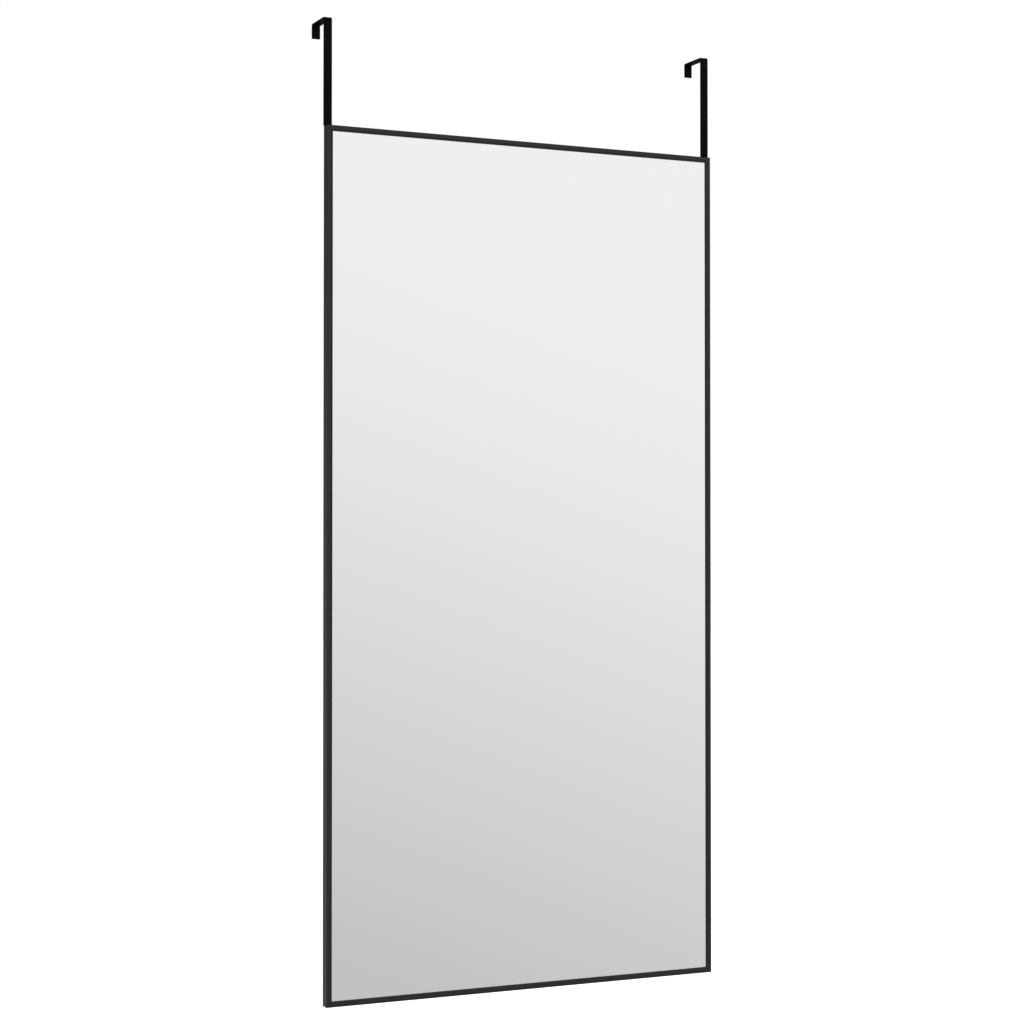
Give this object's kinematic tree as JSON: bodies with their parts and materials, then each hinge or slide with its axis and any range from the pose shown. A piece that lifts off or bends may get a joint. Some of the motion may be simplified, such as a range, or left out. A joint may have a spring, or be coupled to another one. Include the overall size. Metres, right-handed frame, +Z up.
{
  "type": "over the door mirror",
  "caption": "Tall framed mirror in a slim black mitred frame, hung from two flat strip hooks that reach over the top edge of a door.",
  "frame": {"origin": "on the door's top edge, midway between the two hooks, in the plane of the door face that the frame's back lies against", "axes": "+Z up, the mirror faces -Y, +X to the right as seen by someone looking along +Y at the glass"},
  "size_m": [0.5034, 0.0502, 1.125],
  "materials": {
    "frame": "satin black anodised and painted extrusion",
    "hook": "black powder coat on steel strip",
    "mirror": "silvered float glass",
    "hardboard": "brown hardboard, screen side out",
    "corner_plate": "zinc plated",
    "set_screw": "zinc plated",
    "spring_steel": "bright spring steel",
    "foam_tape": "black foam tape",
    "bumper": "matte black rubber"
  },
  "bodies": {
    "root": {"frame_top": "frame", "frame_bottom": "frame", "frame_left": "frame", "frame_right": "frame", "corner_plate_top_left": "corner_plate", "corner_plate_top_right": "corner_plate", "corner_plate_bottom_left": "corner_plate", "corner_plate_bottom_right": "corner_plate", "corner_screws": "set_screw", "mirror_glass": "mirror", "back_board": "hardboard", "cushion_tape_top": "foam_tape", "cushion_tape_bottom": "foam_tape", "cushion_tape_left": "foam_tape", "cushion_tape_right": "foam_tape", "spring_clips": "spring_steel", "hook_left": "hook", "hook_right": "hook", "hook_screws": "set_screw", "bumper_left": "bumper", "bumper_right": "bumper"}
  },
  "joints": []
}
